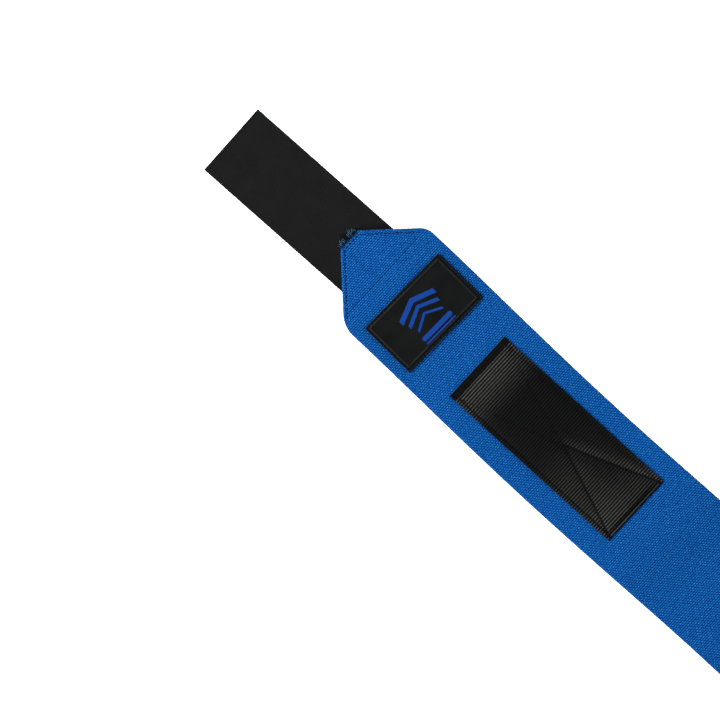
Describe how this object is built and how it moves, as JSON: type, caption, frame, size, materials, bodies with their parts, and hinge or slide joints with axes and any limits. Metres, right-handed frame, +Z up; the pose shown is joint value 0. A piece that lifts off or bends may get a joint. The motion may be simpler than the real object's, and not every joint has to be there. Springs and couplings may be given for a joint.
{
  "type": "hand wrap",
  "caption": "Elastic hand and wrist wrap: wide woven band with a pointed end, hook closure strap, sewn label, ribbed landing panel and thumb loop, laid flat.",
  "frame": {"origin": "middle of the footprint of the laid-out wrap, on the surface it lies on", "axes": "+X along the band from the strap's free end towards the thumb loop, +Y across the band, +Z up out of the labelled face"},
  "size_m": [0.6035, 0.08, 0.006],
  "materials": {
    "blue_elastic": "matte bright blue woven elastic with a staggered fine weave",
    "hook_tape": "matte black woven nylon back of the hook tape",
    "hooks": "short black moulded hooks",
    "ribbed_webbing": "black cross-ribbed woven webbing with a soft sheen on the ribs",
    "label_rubber": "smooth satin black moulded label",
    "label_print": "flat blue print",
    "loop_elastic": "matte black knitted elastic tape",
    "navy_thread": "dark blue sewing thread",
    "black_thread": "black sewing thread"
  },
  "bodies": {
    "label_section": {"elastic_label_section": "blue_elastic", "label_patch": "label_rubber", "label_print": "label_print", "label_stitching": "black_thread"},
    "pointed_end": {"elastic_tip": "blue_elastic", "strap_base": "hook_tape", "hooks_base": "hooks", "tip_bartack": "black_thread", "taper_stitching": "navy_thread", "base_stitching": "navy_thread"},
    "strap_inner": {"strap_inner": "hook_tape", "hooks_inner": "hooks"},
    "strap_outer": {"strap_outer": "hook_tape", "hooks_outer": "hooks"},
    "panel_1": {"elastic_panel_1": "blue_elastic", "ribbed_panel_1": "ribbed_webbing", "panel_stitching_near": "black_thread"},
    "panel_2": {"elastic_panel_2": "blue_elastic", "ribbed_panel_2": "ribbed_webbing", "cross_stitching": "black_thread"},
    "panel_3": {"elastic_panel_3": "blue_elastic", "ribbed_panel_3": "ribbed_webbing"},
    "panel_4": {"elastic_panel_4": "blue_elastic", "ribbed_panel_4": "ribbed_webbing", "panel_stitching_far": "black_thread"},
    "band_1": {"elastic_band_1": "blue_elastic"},
    "band_2": {"elastic_band_2": "blue_elastic"},
    "band_3": {"elastic_band_3": "blue_elastic"},
    "band_4": {"elastic_band_4": "blue_elastic"},
    "band_5": {"elastic_band_5": "blue_elastic"},
    "tail": {"elastic_tail": "blue_elastic", "end_overlock": "navy_thread", "loop_end_left": "loop_elastic", "loop_end_right": "loop_elastic", "loop_bartack_left": "black_thread", "loop_bartack_right": "black_thread"},
    "loop": {"thumb_loop": "loop_elastic"}
  },
  "joints": [
    {"name": "tip_fold", "type": "hinge", "parent": "label_section", "child": "pointed_end", "pos_m": [-0.16625, 0, 0.00209], "axis": [0, 1, 0], "range_deg": [-60, 60]},
    {"name": "strap_fold", "type": "hinge", "parent": "pointed_end", "child": "strap_inner", "pos_m": [-0.21575, -0.0002, 0.00093], "axis": [-0.0209, 0.9998, 0], "range_deg": [-55, 55]},
    {"name": "strap_curl", "type": "hinge", "parent": "strap_inner", "child": "strap_outer", "pos_m": [-0.25824, -0.00109, 0.00093], "axis": [-0.0209, 0.9998, 0], "range_deg": [-70, 70]},
    {"name": "panel_fold_1", "type": "hinge", "parent": "label_section", "child": "panel_1", "pos_m": [-0.10825, 0, 0.0008], "axis": [0, -1, 0], "range_deg": [-60, 60]},
    {"name": "panel_fold_2", "type": "hinge", "parent": "panel_1", "child": "panel_2", "pos_m": [-0.06625, 0, 0.00162], "axis": [0, -1, 0], "range_deg": [-60, 60]},
    {"name": "panel_fold_3", "type": "hinge", "parent": "panel_2", "child": "panel_3", "pos_m": [-0.02545, 0, 0.00162], "axis": [0, -1, 0], "range_deg": [-60, 60]},
    {"name": "panel_fold_4", "type": "hinge", "parent": "panel_3", "child": "panel_4", "pos_m": [0.01415, 0, 0.00162], "axis": [0, -1, 0], "range_deg": [-60, 60]},
    {"name": "band_fold_1", "type": "hinge", "parent": "panel_4", "child": "band_1", "pos_m": [0.05255, 0, 0.0008], "axis": [0, -1, 0], "range_deg": [-60, 60]},
    {"name": "band_fold_2", "type": "hinge", "parent": "band_1", "child": "band_2", "pos_m": [0.08975, 0, 0.0008], "axis": [0, -1, 0], "range_deg": [-60, 60]},
    {"name": "band_fold_3", "type": "hinge", "parent": "band_2", "child": "band_3", "pos_m": [0.12575, 0, 0.0008], "axis": [0, -1, 0], "range_deg": [-60, 60]},
    {"name": "band_fold_4", "type": "hinge", "parent": "band_3", "child": "band_4", "pos_m": [0.16055, 0, 0.0008], "axis": [0, -1, 0], "range_deg": [-60, 60]},
    {"name": "band_fold_5", "type": "hinge", "parent": "band_4", "child": "band_5", "pos_m": [0.19415, 0, 0.0008], "axis": [0, -1, 0], "range_deg": [-60, 60]},
    {"name": "tail_fold", "type": "hinge", "parent": "band_5", "child": "tail", "pos_m": [0.22655, 0, 0.0008], "axis": [0, -1, 0], "range_deg": [-60, 60]},
    {"name": "loop_fold", "type": "hinge", "parent": "tail", "child": "loop", "pos_m": [0.25195, 0, 0.0006], "axis": [0, -1, 0], "range_deg": [-90, 90]}
  ]
}
